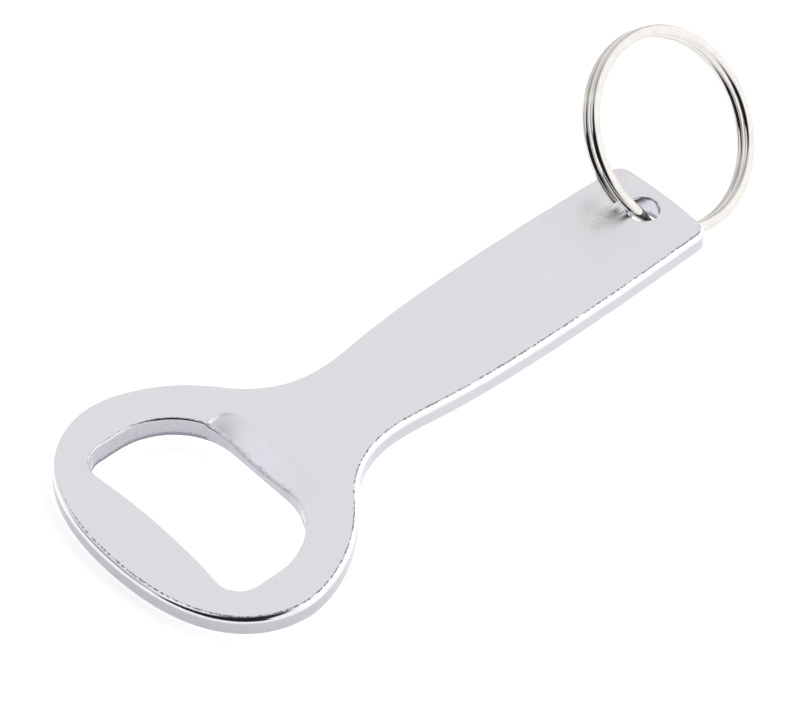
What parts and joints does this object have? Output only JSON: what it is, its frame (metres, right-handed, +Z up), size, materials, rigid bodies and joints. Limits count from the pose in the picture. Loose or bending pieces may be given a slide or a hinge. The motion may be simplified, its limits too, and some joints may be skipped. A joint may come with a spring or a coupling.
{
  "type": "keychain bottle opener",
  "caption": "Flat aluminium bottle opener with a rounded head, a cap opening with a thinned lip, and a steel split ring that swings in a hole at the tail.",
  "frame": {"origin": "on the underside of the plate, on the middle line of the handle, 52.3 mm back from the head's nose", "axes": "+X from the head to the tail along the plate, +Y to the left, +Z up out of the top face, which is the face with the wedge over the lip"},
  "size_m": [0.1133, 0.0424, 0.022],
  "materials": {
    "polished_aluminium": "satin polished, with tumbled edges",
    "plated_steel": "nickel plated, bright"
  },
  "bodies": {
    "opener": {"opener_body": "polished_aluminium"},
    "ring": {"split_ring": "plated_steel"}
  },
  "joints": [
    {"name": "ring_swing", "type": "hinge", "parent": "opener", "child": "ring", "pos_m": [0.03647, 0, 0.00155], "axis": [0, 0, 1], "range_deg": [-158, 138]}
  ]
}
